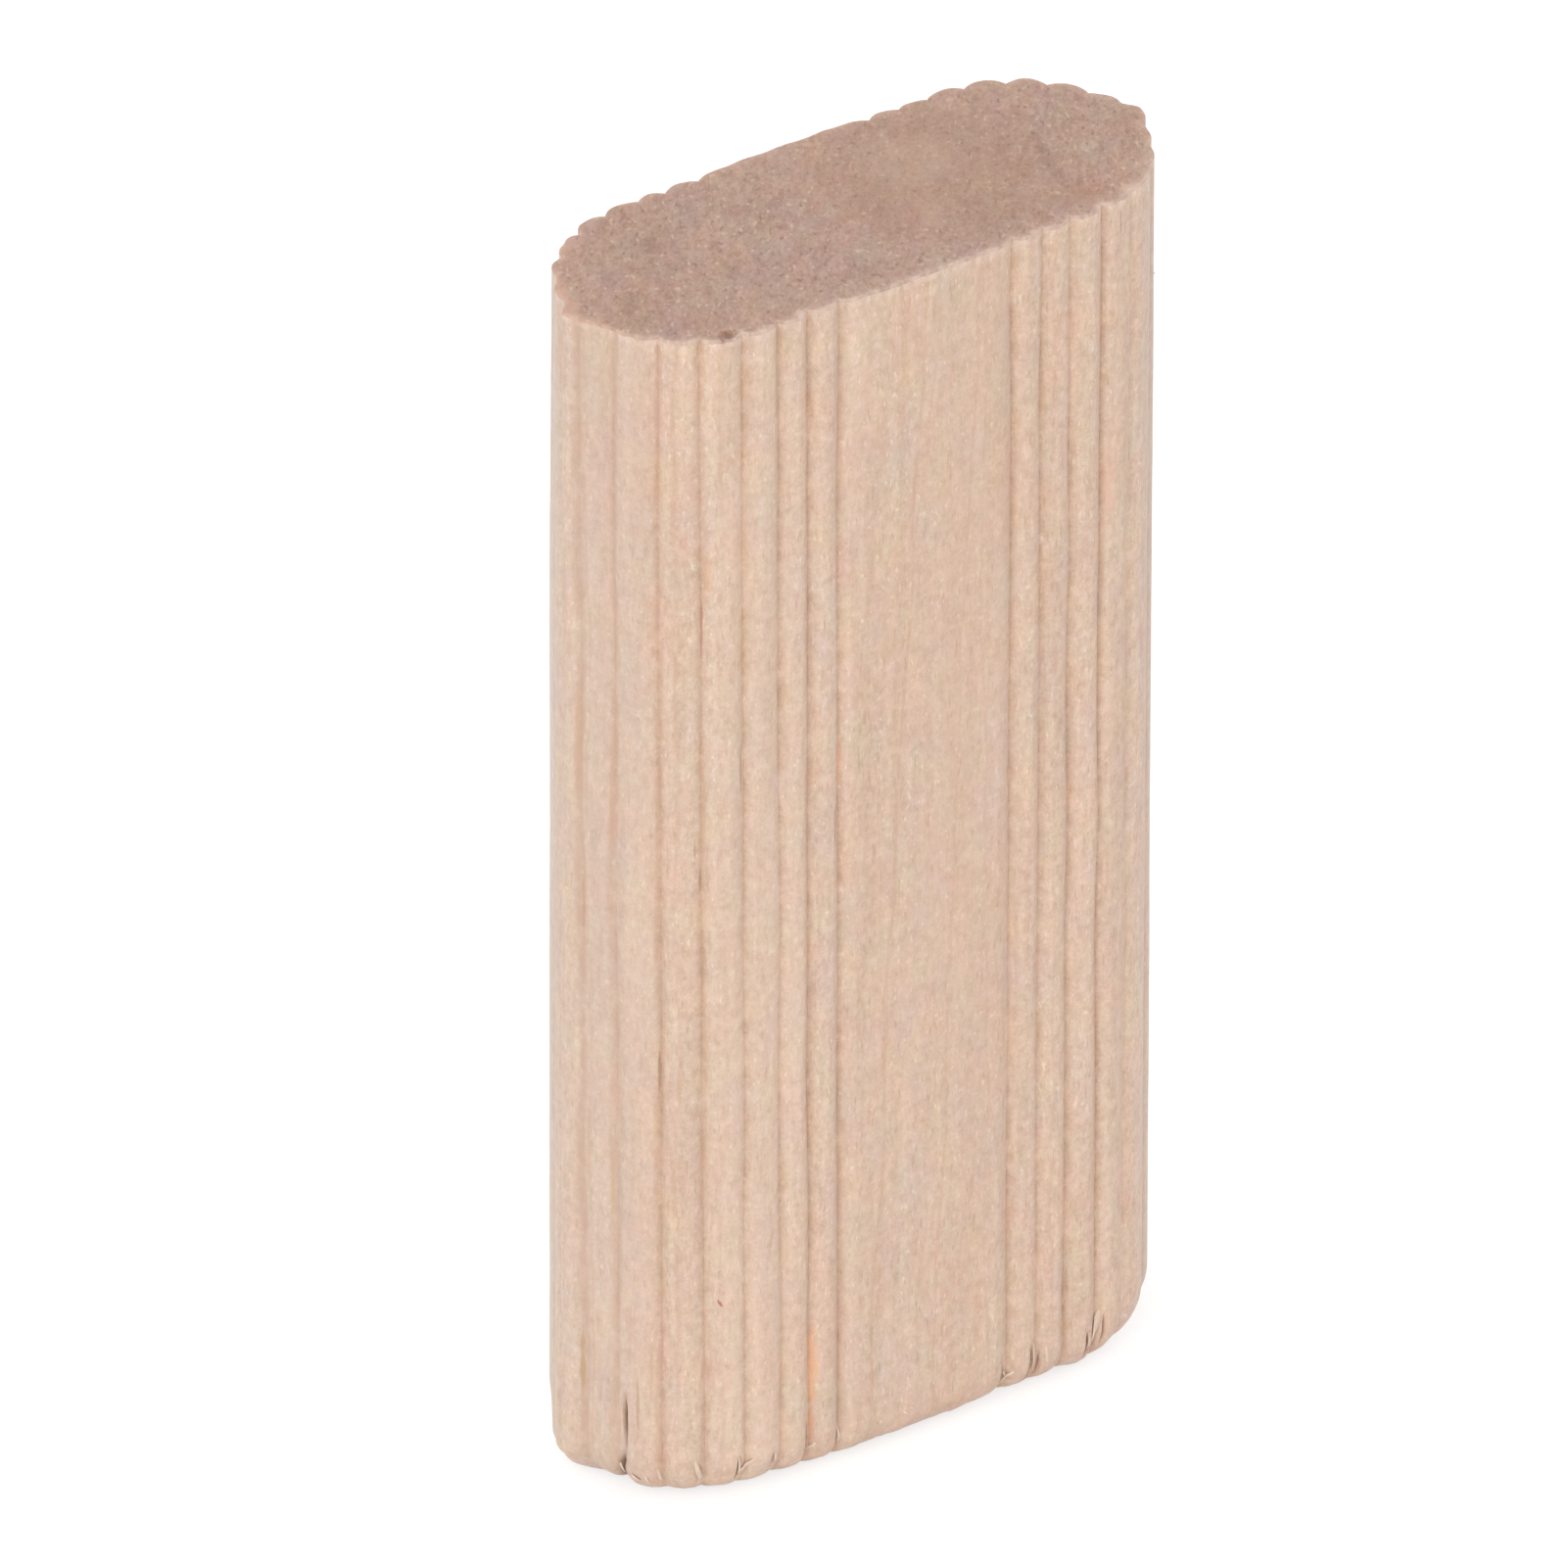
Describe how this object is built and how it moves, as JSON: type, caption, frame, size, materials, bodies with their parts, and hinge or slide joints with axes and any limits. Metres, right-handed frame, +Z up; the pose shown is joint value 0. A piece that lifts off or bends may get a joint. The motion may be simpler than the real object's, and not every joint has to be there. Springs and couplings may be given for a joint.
{
  "type": "loose tenon",
  "caption": "Reeded beech loose tenon with round ends and plain lands on its broad faces, glued into matching mortises to join boards.",
  "frame": {"origin": "middle of the flat foot at the rounded lower end, which the tenon stands on", "axes": "+Z up along the length towards the sawn end, +X along the width, +Y along the thickness from the front land to the back land"},
  "size_m": [0.025, 0.01, 0.05],
  "materials": {
    "beech": "bare, milled and pressed, matt"
  },
  "bodies": {
    "root": {"tenon": "beech"}
  },
  "joints": []
}
